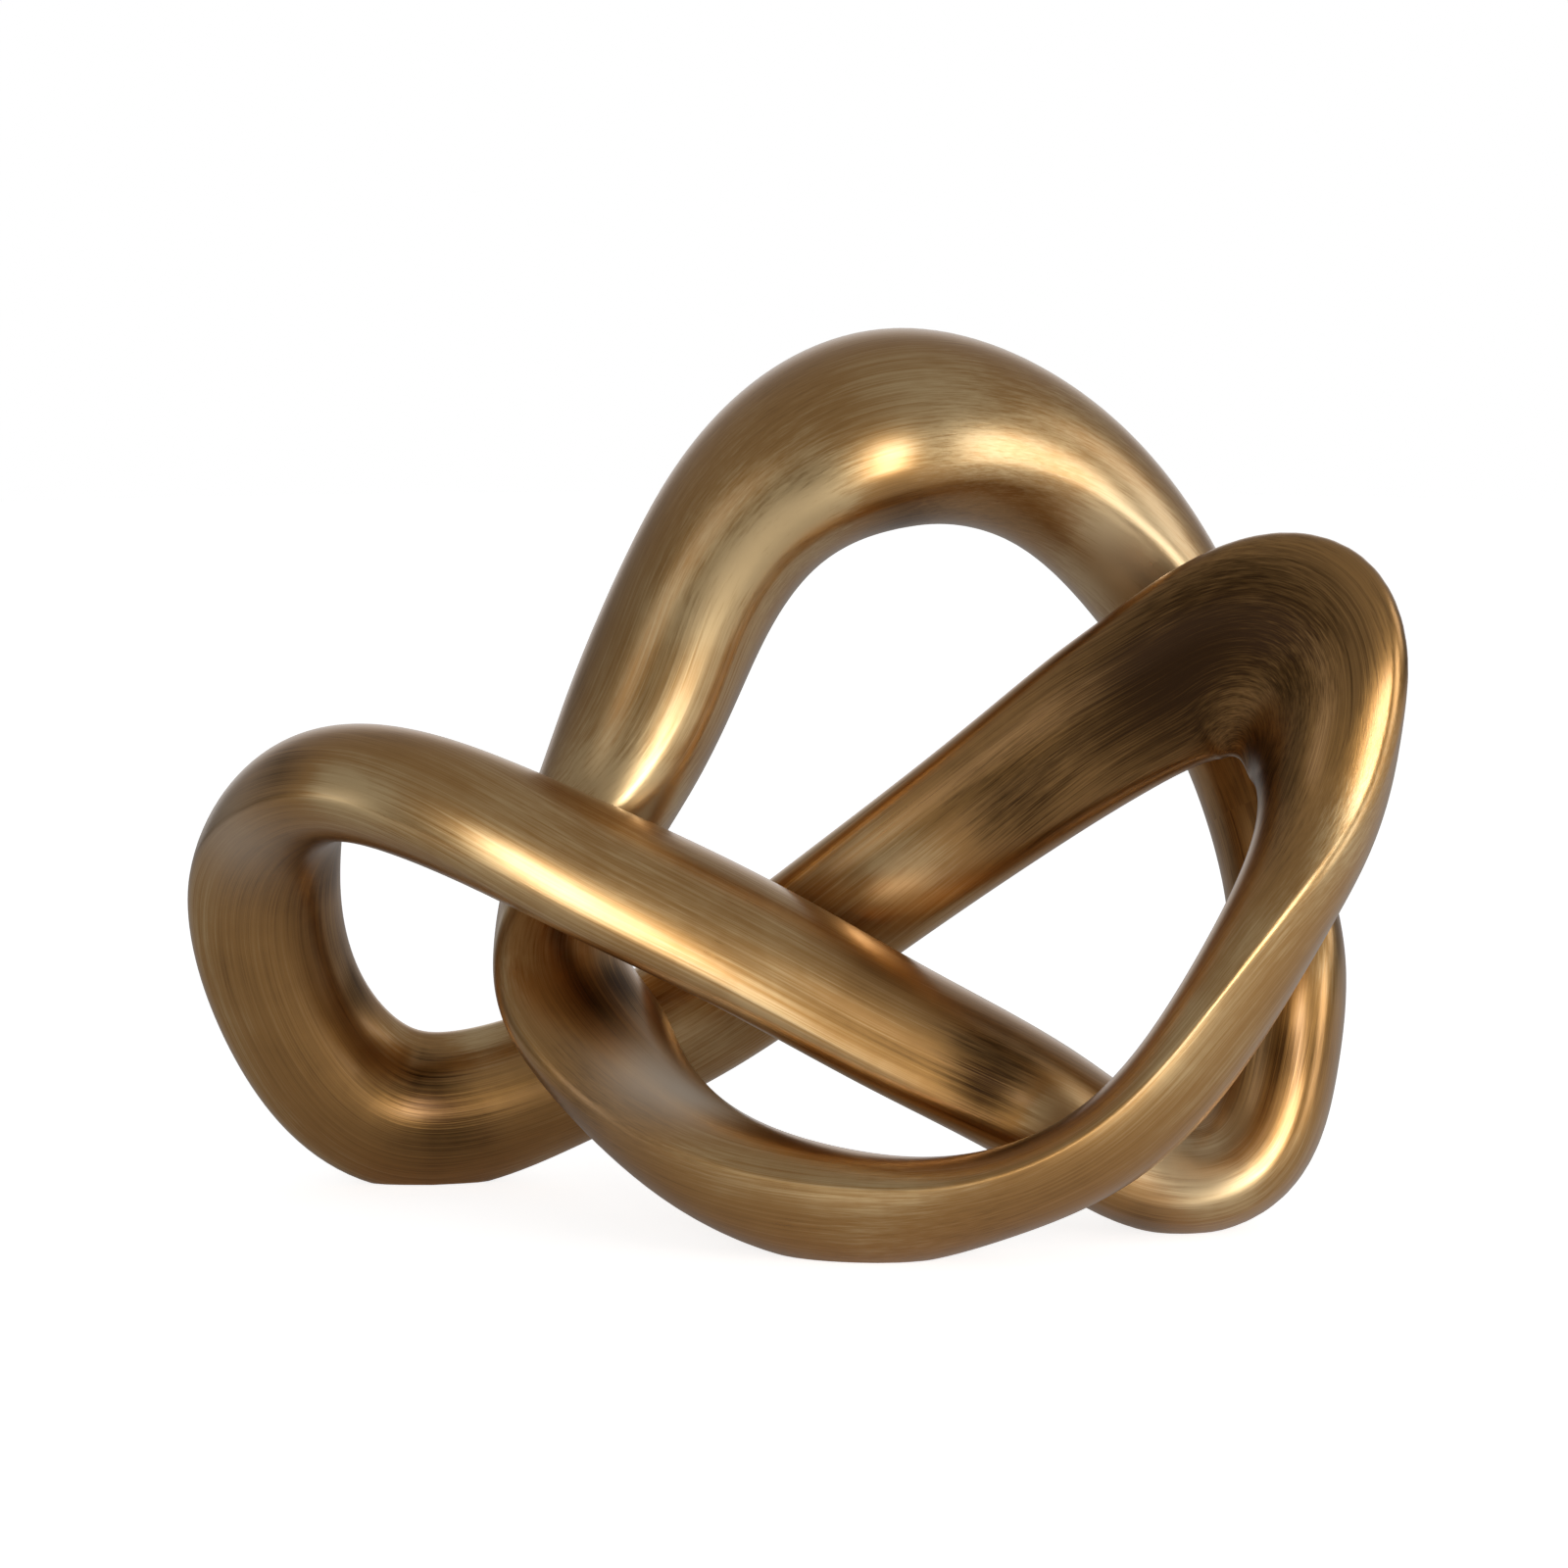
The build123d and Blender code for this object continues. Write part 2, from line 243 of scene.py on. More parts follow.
class BandPath:
    """The band's skin: a flattened oval carried along a smooth closed curve through the stations."""

    PROBES = 60         # points per station on which the path's length is measured
    NUDGE = 0.002       # step in stations, and in quarter turns, on which slopes are measured

    def __init__(self, stations: Sequence[Station], roll_per_lap: float) -> None:
        """Solves the closed curve.

        Args:
            stations: Places that the curve passes through, in order.
            roll_per_lap: Degrees that the section gains in one whole round.
        """
        values = np.array([station.values() for station in stations])
        self.count = len(values)
        self.gain = np.array(Station(0, 0, 0, 0, 0, roll_per_lap, 0, 0).values())
        ramp = np.outer(np.arange(self.count) / self.count, self.gain)
        same = np.eye(self.count)
        matrix = (4 * same + np.roll(same, 1, axis=0) + np.roll(same, -1, axis=0)) / 6
        self.controls = np.linalg.solve(matrix, values - ramp)
        probes = np.linspace(0, self.count, self.count * self.PROBES + 1)
        steps = np.linalg.norm(np.diff(self.values(probes)[:, :3], axis=0), axis=1)
        self.probes = probes
        self.lengths = np.concatenate([[0.0], np.cumsum(steps)])

    def blended(self, place: np.ndarray, weights: Sequence[np.ndarray]) -> np.ndarray:
        """Weighted sums of the four controls around each place."""
        first = np.floor(place).astype(int) - 1
        return sum(w[:, None] * self.controls[(first + i) % self.count] for i, w in enumerate(weights))

    def values(self, place: np.ndarray) -> np.ndarray:
        """Path, sizes, roll and shift at each place, one row each."""
        f = place - np.floor(place)
        weights = ((1 - f) ** 3, 3 * f**3 - 6 * f**2 + 4, -3 * f**3 + 3 * f**2 + 3 * f + 1, f**3)
        return self.blended(place, [w / 6 for w in weights]) + np.outer(place / self.count, self.gain)

    def travel(self, place: np.ndarray) -> np.ndarray:
        """Direction of the path at each place, as long as one station is there."""
        f = place - np.floor(place)
        weights = (-((1 - f) ** 2), 3 * f**2 - 4 * f, -3 * f**2 + 2 * f + 1, f**2)
        return self.blended(place, [w / 2 for w in weights])[:, :3]

    def bend(self, place: np.ndarray) -> np.ndarray:
        """Curvature of the path at each place: a vector towards the inside of the bend, per millimetre."""
        f = place - np.floor(place)
        change = self.blended(place, (1 - f, 3 * f - 2, 1 - 3 * f, f))[:, :3]
        travel = self.travel(place)
        speed = np.linalg.norm(travel, axis=1)[:, None]
        along = travel / speed
        return (change - along * np.sum(change * along, axis=1)[:, None]) / speed**2

    def travelled(self, place: np.ndarray) -> np.ndarray:
        """Length of the path, in millimetres, from the first station to each place."""
        laps, rest = np.divmod(place, self.count)
        return laps * self.lengths[-1] + np.interp(rest, self.probes, self.lengths)

    def beside(self, place: float, distance: float) -> float:
        """Place that lies a distance in millimetres further along the band."""
        return place + distance / float(np.linalg.norm(self.travel(np.array([place]))))

    def sections(self, place: np.ndarray) -> Sections:
        """Frames and sizes of the section at each place."""
        values = self.values(place)
        column = {field.name: values[:, i : i + 1] for i, field in enumerate(fields(Station))}
        along = self.travel(place)
        along /= np.linalg.norm(along, axis=1)[:, None]
        front = np.array([0.0, -1.0, 0.0])
        front = front - along * (along @ front)[:, None]
        front /= np.linalg.norm(front, axis=1)[:, None]
        right_hand = np.cross(along, front)
        roll = np.radians(column["roll"])
        wide = right_hand * np.cos(roll) + front * np.sin(roll)
        return Sections(
            middle=values[:, :3] + wide * column["shift"],
            wide=wide,
            thick=np.cross(along, wide),
            half_width=column["half_width"],
            half_thickness=column["half_thickness"],
            ridge_share=column["ridge_share"],
        )

    @staticmethod
    def oval(at: Sections, turn: np.ndarray) -> tuple[np.ndarray, np.ndarray]:
        """Flattened oval of two broad arcs and two ridge arcs.

        Args:
            at: The sections that the ovals belong to.
            turn: Places round the oval in quarters: ridge, broad face, ridge, broad face.

        Returns:
            The oval's coordinates across and through the band, a row per section and a column per turn.
        """
        width, thickness = at.half_width, at.half_thickness
        ridge = at.ridge_share * thickness
        broad = (width**2 + thickness**2 - 2 * width * ridge) / (2 * (thickness - ridge))
        meet = np.arctan2(broad - thickness, width - ridge)
        half, share = np.divmod(np.mod(turn, 4.0), 2.0)
        sign = 1 - 2 * half
        on_ridge = share < 1
        ridge_angle = meet * (2 * share - 1)
        broad_angle = meet + (math.pi - 2 * meet) * (share - 1)
        ridge_across = width - ridge + ridge * np.cos(ridge_angle)
        ridge_through = ridge * np.sin(ridge_angle)
        broad_across = broad * np.cos(broad_angle)
        broad_through = broad * np.sin(broad_angle) - broad + thickness
        across = np.where(on_ridge, ridge_across, broad_across)
        through = np.where(on_ridge, ridge_through, broad_through)
        return sign * across, sign * through

    def skin(self, place: np.ndarray, turn: np.ndarray) -> np.ndarray:
        """Points of the band's skin in millimetres, a row per place and a column per turn."""
        at = self.sections(place)
        across, through = self.oval(at, turn[None, :])
        sideways = across[..., None] * at.wide[:, None]
        outwards = through[..., None] * at.thick[:, None]
        return at.middle[:, None] + sideways + outwards

    def normals(self, place: np.ndarray, turn: np.ndarray) -> np.ndarray:
        """Outward directions of the skin, a row per place and a column per turn."""
        along = self.skin(place + self.NUDGE, turn) - self.skin(place - self.NUDGE, turn)
        around = self.skin(place, turn + self.NUDGE) - self.skin(place, turn - self.NUDGE)
        normal = np.cross(around, along)
        return normal / np.linalg.norm(normal, axis=2)[..., None]


@dataclass
class BandLength:
    """A hollow length of the band, a casting or a weld, with its skin as smooth as the polished metal."""

    name: str
    node: str
    slot: Slot
    start: float
    end: float
    foot: Foot = Foot.NONE
    ring_step: float = 1.0          # millimetres along the band between two rings of the skin
    ridge_points: int = 28          # points round each ridge
    broad_points: int = 36          # points across each broad face
    same_way: float = 0.6           # least agreement with the skin for a face to be shaded as part of it
    table_height: float = 1e-6      # metres within which a point lies on the table

    def turns(self) -> np.ndarray:
        """Places of the ring's points round the section, in quarters."""
        ridge = np.arange(self.ridge_points) / self.ridge_points
        broad = 1 + np.arange(self.broad_points) / self.broad_points
        return np.concatenate([ridge, broad, 2 + ridge, 2 + broad])

    def build(self, path: BandPath) -> bpy.types.Object:
        """Makes the length: a straight tube, laid onto the band, given its wall and ground at its foot.

        Args:
            path: The band's skin.

        Returns:
            The finished piece.
        """
        turn = self.turns()
        span = np.diff(path.travelled(np.array([self.start, self.end])))[0]
        rings = max(4, math.ceil(span / self.ring_step) + 1)
        piece = self.straight_tube(len(turn), rings)
        self.lay_on_band(piece, path, turn, rings)
        self.give_wall(piece)
        if self.foot is Foot.GROUND:
            self.grind_foot(piece)
        self.set_normals(piece)
        return piece

    def straight_tube(self, points: int, rings: int) -> bpy.types.Object:
        """Adds an open tube along Z and cuts its sides into rings.

        Args:
            points: Points round the tube.
            rings: Rings along it, both ends counted.

        Returns:
            The tube.
        """
        bpy.ops.object.select_all(action="DESELECT")
        bpy.ops.mesh.primitive_cylinder_add(vertices=points, radius=1, depth=2, end_fill_type="NOTHING")
        tube = bpy.context.active_object
        tube.name = self.name
        tube.data.name = self.name
        bpy.ops.object.mode_set(mode="EDIT")
        bpy.ops.mesh.select_mode(type="EDGE")
        bpy.ops.mesh.select_all(action="DESELECT")
        bpy.ops.object.mode_set(mode="OBJECT")
        for edge in tube.data.edges:
            low, high = (tube.data.vertices[i].co.z for i in edge.vertices)
            edge.select = abs(high - low) > 1
        bpy.ops.object.mode_set(mode="EDIT")
        bpy.ops.mesh.subdivide(number_cuts=rings - 2)
        bpy.ops.object.mode_set(mode="OBJECT")
        return tube

    def lay_on_band(self, piece: bpy.types.Object, path: BandPath, turn: np.ndarray, rings: int) -> None:
        """Moves the tube's points onto the band's skin and notes where each lies on the metal.

        Args:
            piece: The straight tube.
            path: The band's skin.
            turn: Places of the ring's points round the section.
            rings: Rings along the tube.
        """
        mesh = piece.data
        at = np.empty(len(mesh.vertices) * 3)
        mesh.vertices.foreach_get("co", at)
        at = at.reshape(-1, 3)
        ring = np.rint((at[:, 2] + 1) / 2 * (rings - 1)).astype(int)
        point = np.rint(np.arctan2(at[:, 1], at[:, 0]) / math.tau * len(turn)).astype(int) % len(turn)
        place = np.linspace(self.start, self.end, rings)
        skin = path.skin(place, turn)[ring, point]
        normal = path.normals(place, turn)
        sizes = path.sections(place)
        across, through = path.oval(sizes, turn[None, :])
        length = np.broadcast_to(path.travelled(place)[:, None], across.shape)
        grain = np.stack([across, through, length], axis=2)[ring, point]
        inside = np.sum(normal * path.bend(place)[:, None], axis=2)[ring, point]
        ridge = (np.abs(across) / sizes.half_width)[ring, point]
        # Rubbed places and painted shade, highlight and sheen of the listed spots
        wear_and_painted_light = np.zeros(len(skin))
        painted_sheen = np.zeros(len(skin))
        for spot in WEAR_AND_PAINTED_LIGHT:
            away = np.linalg.norm(skin - (spot.x, spot.y, spot.z), axis=1)
            fade = np.exp(-((away / spot.reach) ** 2))
            wear_and_painted_light += spot.tone * fade
            painted_sheen += spot.painted_sheen * fade
        mesh.vertices.foreach_set("co", (skin * MM).ravel())
        self.note(mesh, "grain", grain * MM)
        self.note(mesh, "skin_normal", normal[ring, point])
        self.note(mesh, "hollow", inside)
        self.note(mesh, "ridge", ridge)
        self.note(mesh, "wear_and_painted_light", wear_and_painted_light)
        self.note(mesh, "painted_sheen", painted_sheen)
        mesh.update()

    @staticmethod
    def note(mesh: bpy.types.Mesh, name: str, values: np.ndarray) -> None:
        """Keeps a value or a vector for every point of the mesh under a name."""
        kind, field_name = ("FLOAT_VECTOR", "vector") if values.ndim == 2 else ("FLOAT", "value")
        attribute = mesh.attributes.new(name, kind, "POINT")
        attribute.data.foreach_set(field_name, np.ascontiguousarray(values, dtype=np.float32).ravel())

    def give_wall(self, piece: bpy.types.Object) -> None:
        """Turns the skin into a hollow wall with closed ends."""
        bpy.ops.object.modifier_add(type="SOLIDIFY")
        wall = piece.modifiers[-1]
        wall.thickness = WALL * MM
        wall.offset = -1
        bpy.ops.object.modifier_apply(modifier=wall.name)

    def grind_foot(self, piece: bpy.types.Object) -> None:
        """Cuts the wall off flat at the table and closes the cut."""
        bpy.ops.object.mode_set(mode="EDIT")
        bpy.ops.mesh.select_all(action="SELECT")
        bpy.ops.mesh.bisect(plane_co=(0, 0, 0), plane_no=(0, 0, 1), use_fill=True, clear_inner=True)
        bpy.ops.object.mode_set(mode="OBJECT")

    def set_normals(self, piece: bpy.types.Object) -> None:
        """Shades the skin by its true slope, so that lengths meet with no visible seam."""
        mesh = piece.data
        bpy.ops.object.shade_smooth()
        faces = len(mesh.polygons)
        face_normal = np.empty(faces * 3)
        mesh.polygons.foreach_get("normal", face_normal)
        face_size = np.empty(faces, dtype=int)
        mesh.polygons.foreach_get("loop_total", face_size)
        corner_point = np.empty(len(mesh.loops), dtype=int)
        mesh.loops.foreach_get("vertex_index", corner_point)
        skin_normal = np.empty(len(mesh.vertices) * 3)
        mesh.attributes["skin_normal"].data.foreach_get("vector", skin_normal)
        height = np.empty(len(mesh.vertices) * 3)
        mesh.vertices.foreach_get("co", height)
        height = height.reshape(-1, 3)[:, 2]
        face_corner = np.repeat(np.arange(faces), face_size)
        flat = face_normal.reshape(-1, 3)[face_corner]
        smooth = skin_normal.reshape(-1, 3)[corner_point]
        agree = np.sum(flat * smooth, axis=1)
        corner = np.where(np.abs(agree)[:, None] > self.same_way, smooth * np.sign(agree)[:, None], flat)
        on_table = np.ones(faces, dtype=bool)
        np.logical_and.at(on_table, face_corner, height[corner_point] < self.table_height)
        corner = np.where(on_table[face_corner][:, None], flat, corner)
        mesh.normals_split_custom_set(corner.tolist())
        mesh.attributes.remove(mesh.attributes["skin_normal"])

    def dress(self, piece: bpy.types.Object, finish: bpy.types.Material) -> None:
        """Gives the piece its finish and its body, and hides the model's solid that it stands for."""
        piece.data.materials.clear()
        piece.data.materials.append(finish)
        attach(piece, BODY)
        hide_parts(self.node)
        log.info("%s: %d points, %d faces", piece.name, len(piece.data.vertices), len(piece.data.polygons))


Input = Union["NodeValue", float, Sequence[float]]


class NodeValue:
    """An output of a shader node. Arithmetic on it adds Math nodes."""

    def __init__(self, tree: "FinishTree", socket: bpy.types.NodeSocket) -> None:
        """Keeps the socket and the tree that new nodes go into."""
        self.tree = tree
        self.socket = socket

    def math(self, operation: str, left: Input, right: Input) -> "NodeValue":
        """Adds a Math node of the named operation."""
        return self.tree.node("ShaderNodeMath", {"operation": operation}, {0: left, 1: right})

    def __add__(self, other: Input) -> "NodeValue":
        """Sum."""
        return self.math("ADD", self, other)

    def __radd__(self, other: Input) -> "NodeValue":
        """Sum with a number on the left."""
        return self.math("ADD", other, self)

    def __sub__(self, other: Input) -> "NodeValue":
        """Difference."""
        return self.math("SUBTRACT", self, other)

    def __rsub__(self, other: Input) -> "NodeValue":
        """Difference from a number."""
        return self.math("SUBTRACT", other, self)

    def __mul__(self, other: Input) -> "NodeValue":
        """Product."""
        return self.math("MULTIPLY", self, other)

    def __rmul__(self, other: Input) -> "NodeValue":
        """Product with a number on the left."""
        return self.math("MULTIPLY", other, self)

    def smooth(self, low: float, high: float) -> "NodeValue":
        """Smooth step from 0 at low to 1 at high."""
        settings = {"interpolation_type": "SMOOTHSTEP"}
        return self.tree.node("ShaderNodeMapRange", settings, {0: self, 1: low, 2: high, 3: 0.0, 4: 1.0})

    def clamped(self) -> "NodeValue":
        """The value kept between 0 and 1."""
        return self.tree.node("ShaderNodeClamp", {}, {0: self})


class FinishTree:
    """A material's or a world's nodes, added one call at a time."""

    def __init__(self, owner: Union[bpy.types.Material, bpy.types.World]) -> None:
        """Empties the owner's node tree."""
        owner.use_nodes = True
        self.nodes = owner.node_tree.nodes
        self.links = owner.node_tree.links
        self.nodes.clear()

    def node(
        self, kind: str, settings: dict[str, Any], inputs: dict[Any, Input], output: Any = 0
    ) -> NodeValue:
        """Adds a node.

        Args:
            kind: The node's type.
            settings: The node's own settings, which are set first.
            inputs: A value or another node's output for each input, by its name or number.
            output: Name or number of the output that is wanted.

        Returns:
            That output.
        """
        made = self.nodes.new(kind)
        for name, value in settings.items():
            setattr(made, name, value)
        for name, value in inputs.items():
            if isinstance(value, NodeValue):
                self.links.new(value.socket, made.inputs[name])
            else:
                made.inputs[name].default_value = value
        return NodeValue(self, made.outputs[output])

    def finish(self, kind: str, shader: NodeValue) -> None:
        """Adds the output node and links the shader to it."""
        self.links.new(shader.socket, self.nodes.new(kind).inputs["Surface"])

    def path(self, kind: str) -> NodeValue:
        """1 on the named kind of ray, and 0 on the others."""
        return self.node("ShaderNodeLightPath", {}, {}, kind)

    def colour_mix(self, share: Input, first: Input, second: Input) -> NodeValue:
        """Mixes two colours."""
        return self.node("ShaderNodeMix", {"data_type": "RGBA"}, {0: share, 6: first, 7: second}, 2)

    def attribute(self, name: str, output: str = "Fac") -> NodeValue:
        """Reads what a piece notes for its points."""
        return self.node("ShaderNodeAttribute", {"attribute_name": name}, {}, output)

    def stretched(self, vector: NodeValue, scale: Sequence[float]) -> NodeValue:
        """A vector with each part multiplied by its own number."""
        return self.node("ShaderNodeVectorMath", {"operation": "MULTIPLY"}, {0: vector, 1: scale})

    def noise(self, vector: NodeValue, scale: float, detail: float, roughness: float = 0.5) -> NodeValue:
        """Cloudy noise between 0 and 1, about 0.5."""
        inputs = {"Vector": vector, "Scale": scale, "Detail": detail, "Roughness": roughness}
        return self.node("ShaderNodeTexNoise", {}, inputs)


Colour = tuple[float, float, float, float]
Span = tuple[float, float]  # from where a smooth step starts to where it ends


@dataclass(frozen=True)
class AntiqueBrass:
    """Brushed brass with brown patina in its hollows, rubbed bright on its ridges, under thin lacquer,
    with painted light, shade and sheen at the listed spots.
    """

    name: str = "antique_brass"
    patina: Colour = (0.045, 0.019, 0.005, 1.0)
    brass: Colour = (0.440, 0.220, 0.052, 1.0)
    rubbed: Colour = (0.700, 0.490, 0.235, 1.0)
    # Matt grey for the painted sheen, which stands for reflected light
    painted_sheen_grey: Colour = (0.450, 0.390, 0.320, 1.0)
    streak_width: float = 0.7       # millimetres across a coarse brush mark
    scratch_width: float = 0.28     # millimetres across a fine one
    mark_length: float = 60.0       # millimetres along a brush mark
    cloud: float = 22.0             # millimetres across a cloud of patina
    noise_roughness: float = 0.6    # how ragged the marks and clouds are
    middle: float = 0.5             # tone of plain brass, and the middle value of the noises
    streak_tone: float = 0.55       # how much coarse marks, fine marks and clouds change the tone
    scratch_tone: float = 0.5
    cloud_tone: float = 0.45
    ridge_tone: float = 0.16        # gain on the ridges, which are rubbed
    hollow_tone: float = 0.22       # loss in the hollows, which aren't
    ridge_span: Span = (0.7, 1.0)       # share of the half width
    hollow_span: Span = (0.004, 0.034)  # curvature per millimetre
    spot_plain: float = 0.4         # a listed spot, rubbed place and painted light alike: what it has everywhere, in clouds and in coarse marks
    spot_cloud: float = 0.5
    spot_streak: float = 0.7
    brass_span: Span = (-0.08, 0.58)    # tones from patina to brass
    rubbed_span: Span = (0.5, 1.1)      # tones from brass to rubbed brass
    roughness: float = 0.32
    streak_roughness: float = 0.16  # how much coarse marks and clouds change the roughness
    cloud_roughness: float = 0.12
    scratch_depth: float = 0.05     # millimetres
    scratch_height: float = 0.6     # shares of fine and coarse marks in the relief
    streak_height: float = 0.4
    relief: float = 0.7
    lacquer: float = 0.7            # on bright metal
    lacquer_least: float = 0.1      # where the patina is dark
    lacquer_span: Span = (0.0, 0.5)     # tones from the least lacquer to the full one
    lacquer_roughness: float = 0.24
    lacquer_index: float = 1.64     # how strongly the lacquer reflects

    def make(self) -> bpy.types.Material:
        """Builds the finish.

        Returns:
            The material.
        """
        material = bpy.data.materials.new(self.name)
        tree = FinishTree(material)
        grain = tree.attribute("grain", "Vector")
        streaks = self.brush_marks(tree, grain, self.streak_width, 3.0)
        scratches = self.brush_marks(tree, grain, self.scratch_width, 2.0)
        clouds = tree.noise(grain, 1 / (self.cloud * MM), 4.0, self.noise_roughness)
        tone = self.tone(tree, streaks, scratches, clouds)
        low = tree.colour_mix(tone.smooth(*self.brass_span), self.patina, self.brass)
        bright = tree.colour_mix(tone.smooth(*self.rubbed_span), low, self.rubbed)
        # Painted sheen: matt grey lacquer that stands for reflected light
        painted_sheen = tree.attribute("painted_sheen")
        roughness = (
            self.roughness
            + (streaks - self.middle) * self.streak_roughness
            + (clouds - self.middle) * self.cloud_roughness
        )
        relief = {
            "Strength": self.relief,
            "Distance": self.scratch_depth * MM,
            "Height": scratches * self.scratch_height + streaks * self.streak_height,
        }
        lacquer = tone.smooth(*self.lacquer_span) * (self.lacquer - self.lacquer_least)
        inputs = {
            "Base Color": tree.colour_mix(painted_sheen, bright, self.painted_sheen_grey),
            "Metallic": 1.0 - painted_sheen,
            "Roughness": roughness,
            "Coat Weight": lacquer + self.lacquer_least,
            "Coat Roughness": self.lacquer_roughness,
            "Coat IOR": self.lacquer_index,
            "Normal": tree.node("ShaderNodeBump", {}, relief),
        }
        tree.finish("ShaderNodeOutputMaterial", tree.node("ShaderNodeBsdfPrincipled", {}, inputs))
        return material

    def brush_marks(self, tree: FinishTree, grain: NodeValue, width: float, detail: float) -> NodeValue:
        """Noise drawn out along the band.

        Args:
            tree: The finish's nodes.
            grain: Place on the metal: across the band, through it and along it.
            width: Millimetres across one mark.
            detail: Finer levels within the marks.

        Returns:
            The marks, about the middle value.
        """
        drawn_out = tree.stretched(grain, (1, 1, width / self.mark_length))
        return tree.noise(drawn_out, 1 / (width * MM), detail, self.noise_roughness)

    def tone(
        self, tree: FinishTree, streaks: NodeValue, scratches: NodeValue, clouds: NodeValue
    ) -> NodeValue:
        """How bright the metal is rubbed, with the painted light and shade of the listed spots.

        Args:
            tree: The finish's nodes.
            streaks: Coarse brush marks.
            scratches: Fine brush marks.
            clouds: Clouds of patina.

        Returns:
            The tone, from dark patina and painted shade to rubbed brass and painted light.
        """
        hollow = tree.attribute("hollow").smooth(*self.hollow_span)
        ridge = tree.attribute("ridge").smooth(*self.ridge_span)
        plain = (
            self.middle
            + (streaks - self.middle) * self.streak_tone
            + (scratches - self.middle) * self.scratch_tone
            + (clouds - self.middle) * self.cloud_tone
        )
        # Rubbed places and painted light and shade of the listed spots, broken up by clouds and marks
        broken = self.spot_plain + clouds * self.spot_cloud + streaks * self.spot_streak
        rubbed_and_painted = tree.attribute("wear_and_painted_light") * broken
        return plain + ridge * self.ridge_tone - hollow * self.hollow_tone + rubbed_and_painted


@dataclass(frozen=True)
class SoftBox:
    """A studio lamp with a flat white front, aimed at the sculpture."""

    name: str
    azimuth: float          # degrees round from the camera's side, to the right
    elevation: float        # degrees above the table
    distance: float         # metres from the sculpture's middle
    width: float
    height: float
    radiance: float         # brightness of its front, where 1 is white

    def place(self, aim: Vector) -> None:
        """Adds the lamp and turns it towards a point."""
        a, e = math.radians(self.azimuth), math.radians(self.elevation)
        away = Vector((math.sin(a) * math.cos(e), -math.cos(a) * math.cos(e), math.sin(e)))
        bpy.ops.object.light_add(type="AREA", location=aim + away * self.distance)
        lamp = bpy.context.active_object
        lamp.name = self.name
        lamp.rotation_euler = (-away).to_track_quat("-Z", "Y").to_euler()
        lamp.data.shape = "RECTANGLE"
        lamp.data.size = self.width
        lamp.data.size_y = self.height
        lamp.data.energy = self.radiance * math.pi * self.width * self.height
        lamp.visible_camera = False
        log.info("lamp %s", self.name)


